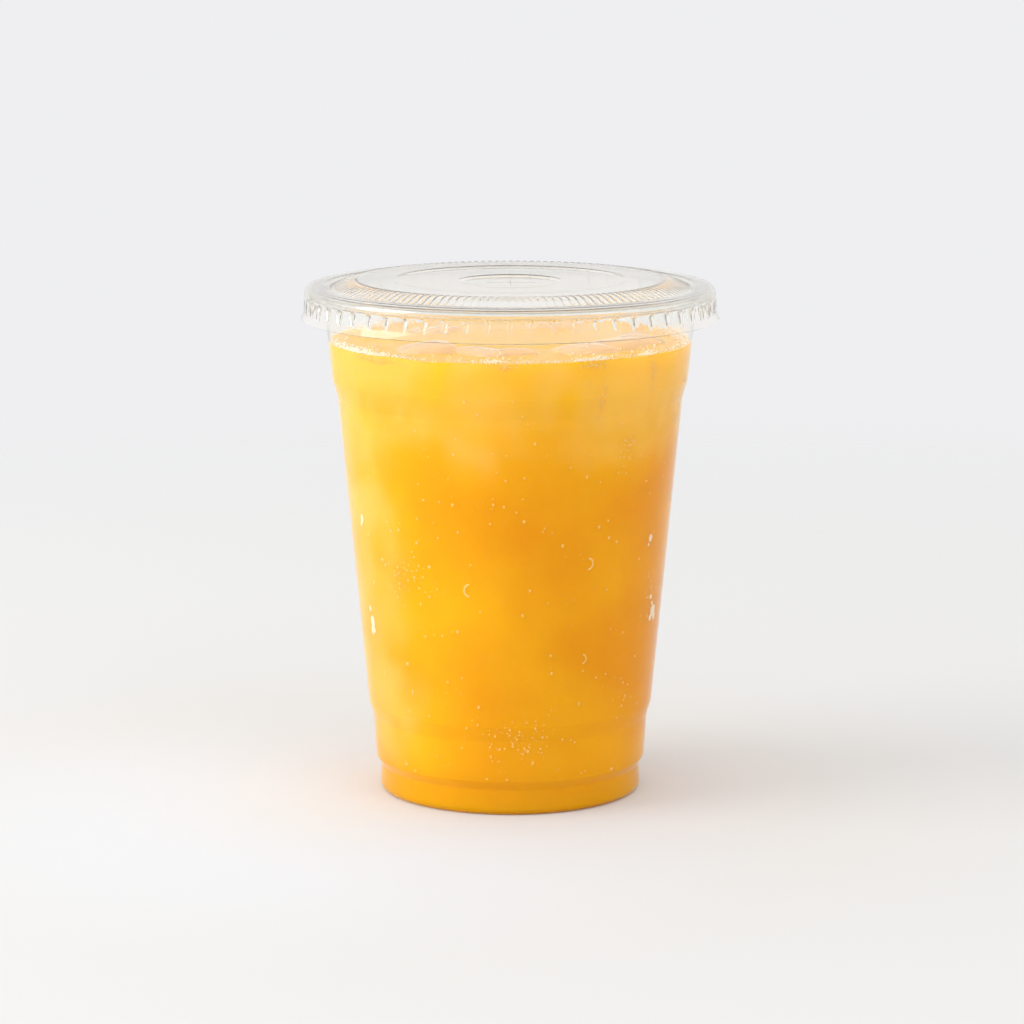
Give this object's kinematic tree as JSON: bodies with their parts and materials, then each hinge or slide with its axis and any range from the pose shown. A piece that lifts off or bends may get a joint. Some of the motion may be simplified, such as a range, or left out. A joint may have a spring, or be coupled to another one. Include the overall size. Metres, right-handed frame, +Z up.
{
  "type": "lidded plastic cup of iced fruit smoothie",
  "caption": "Clear tapered plastic take-away cup with stacking ledges, a rolled rim and a ribbed push-on flat lid, filled nearly to the rim with iced orange fruit smoothie.",
  "frame": {"origin": "centre of the standing plane under the cup, which is the bottom centre of the whole", "axes": "+Z up along the cup's axis, -Y towards the viewer of the shown side, +X to that viewer's right"},
  "size_m": [0.1018, 0.1018, 0.1264],
  "materials": {
    "clear_cup": "clear, glossy thermoformed sheet",
    "clear_lid": "clear, glossy thermoformed sheet",
    "fruit_drink": "cloudy iced fruit drink, wet"
  },
  "bodies": {
    "root": {"cup": "clear_cup", "lid": "clear_lid", "drink": "fruit_drink"}
  },
  "joints": []
}
